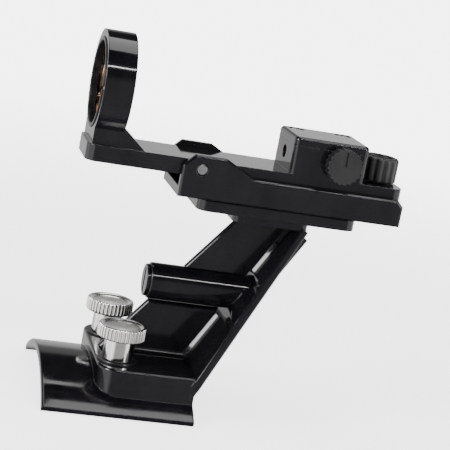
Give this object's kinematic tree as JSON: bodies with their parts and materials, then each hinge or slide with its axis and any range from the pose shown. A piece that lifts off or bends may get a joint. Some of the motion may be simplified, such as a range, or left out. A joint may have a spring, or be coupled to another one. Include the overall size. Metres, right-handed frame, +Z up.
{
  "type": "red dot finder",
  "caption": "Reflex finder for a reflector telescope: curved foot under thumb nuts, leaning neck with a battery tube, and an adjustable sight with a round window.",
  "frame": {"origin": "midway between the two stud holes, on top of the foot's platform", "axes": "+Z up along the telescope's studs, X along the telescope tube and the sight line with the sky at -X, Y across the tube through both studs"},
  "size_m": [0.0858, 0.05, 0.0924],
  "materials": {
    "black_plastic": "glossy injection-moulded black",
    "knob_plastic": "satin black",
    "matte_black": "matt black",
    "nickel": "turned and nickel plated",
    "black_metal": "black oxide",
    "steel": "plain steel",
    "brass": "plated strip",
    "lead_rubber": "insulation",
    "coated_glass": "coated window",
    "red_lens": "clear red",
    "board_green": "solder mask"
  },
  "bodies": {
    "bracket": {"mounting_bracket": "black_plastic", "stud_washers": "black_metal", "battery_tube": "black_plastic", "battery_spring": "steel", "button_cells": "steel", "battery_contact": "brass", "tube_screw": "steel", "power_lead": "lead_rubber", "lead_cover": "black_plastic", "sight_base": "black_plastic", "base_screws": "steel", "azimuth_pivot": "steel"},
    "front_nut": {"thumb_nut_front": "nickel"},
    "rear_nut": {"thumb_nut_rear": "nickel"},
    "cap": {"battery_cap": "black_plastic"},
    "carriage": {"azimuth_carriage": "black_plastic", "altitude_pin": "steel", "altitude_spring": "steel"},
    "azimuth_adjuster": {"azimuth_knob": "knob_plastic", "azimuth_screw": "steel"},
    "sight": {"sight_body": "black_plastic", "window_lens": "coated_glass", "window_ring": "black_metal", "emitter_cover": "black_plastic", "cover_screws": "steel", "led": "red_lens", "led_holder": "matte_black", "circuit_board": "board_green", "potentiometer": "matte_black", "sight_lead": "lead_rubber"},
    "altitude_adjuster": {"altitude_knob": "knob_plastic", "altitude_screw": "steel"},
    "dial": {"brightness_dial": "knob_plastic"}
  },
  "joints": [
    {"name": "front_nut_turn", "type": "hinge", "parent": "bracket", "child": "front_nut", "pos_m": [0, -0.01175, 0.005], "axis": [0, 0, 1], "continuous": true},
    {"name": "rear_nut_turn", "type": "hinge", "parent": "bracket", "child": "rear_nut", "pos_m": [0, 0.01175, 0.005], "axis": [0, 0, 1], "continuous": true},
    {"name": "cap_turn", "type": "hinge", "parent": "bracket", "child": "cap", "pos_m": [0.006, 0, 0.019], "axis": [-1, 0, 0], "range_deg": [0, 90]},
    {"name": "azimuth_turn", "type": "hinge", "parent": "bracket", "child": "carriage", "pos_m": [0.034, 0, 0.046], "axis": [0, 0, 1], "range_deg": [-2.5, 2.5]},
    {"name": "azimuth_knob_turn", "type": "hinge", "parent": "bracket", "child": "azimuth_adjuster", "pos_m": [0.0525, 0.016, 0.0476], "axis": [0, 1, 0], "range_deg": [-582, 582]},
    {"name": "altitude_tilt", "type": "hinge", "parent": "carriage", "child": "sight", "pos_m": [0.013, 0, 0.0516], "axis": [0, 1, 0], "range_deg": [-2.5, 2.5], "deforming": ["altitude_spring"]},
    {"name": "altitude_knob_turn", "type": "hinge", "parent": "sight", "child": "altitude_adjuster", "pos_m": [0.0618, 0, 0.052], "axis": [0, 0, 1], "range_deg": [-1535, 1535]},
    {"name": "dial_turn", "type": "hinge", "parent": "sight", "child": "dial", "pos_m": [0.049, -0.011, 0.0578], "axis": [0, -1, 0], "range_deg": [0, 270]}
  ],
  "couplings": [
    {"joint": "azimuth_knob_turn", "follows": "azimuth_turn", "ratio": 232.5},
    {"joint": "altitude_knob_turn", "follows": "altitude_tilt", "ratio": -613}
  ]
}
